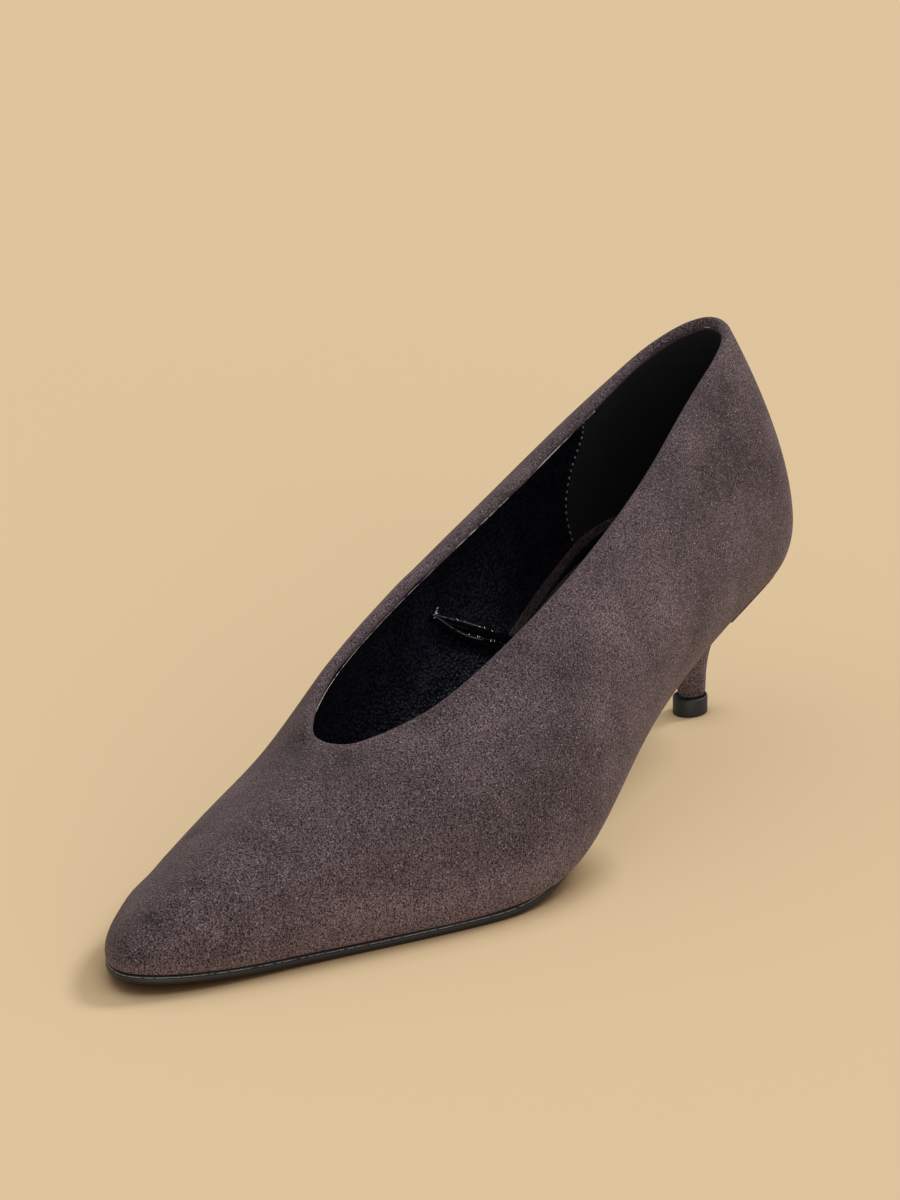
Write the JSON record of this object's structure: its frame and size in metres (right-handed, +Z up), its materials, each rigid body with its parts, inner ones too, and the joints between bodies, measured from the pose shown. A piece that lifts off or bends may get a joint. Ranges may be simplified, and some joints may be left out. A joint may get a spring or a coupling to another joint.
{
  "type": "kitten heel pump",
  "caption": "Closed pointed pump with a high cut vamp that dips to a V throat, a thin sole and a slim low heel on a rubber top piece.",
  "frame": {"origin": "on the floor under the middle of the whole shoe's box", "axes": "+Z up, -Y towards the toe and +Y towards the heel, +X towards the outer side of the left foot"},
  "size_m": [0.0864, 0.2534, 0.1069],
  "materials": {
    "suede": "napped, matt, mottled",
    "footbed_suede": "napped, matt",
    "lining_leather": "fine pebble grain, soft gloss",
    "grip_suede": "napped, matt",
    "sole_rubber": "satin",
    "top_piece_rubber": "matt"
  },
  "bodies": {
    "root": {"upper": "suede", "insole": "footbed_suede", "outsole": "sole_rubber", "heel": "suede", "top_piece": "top_piece_rubber"}
  },
  "joints": []
}
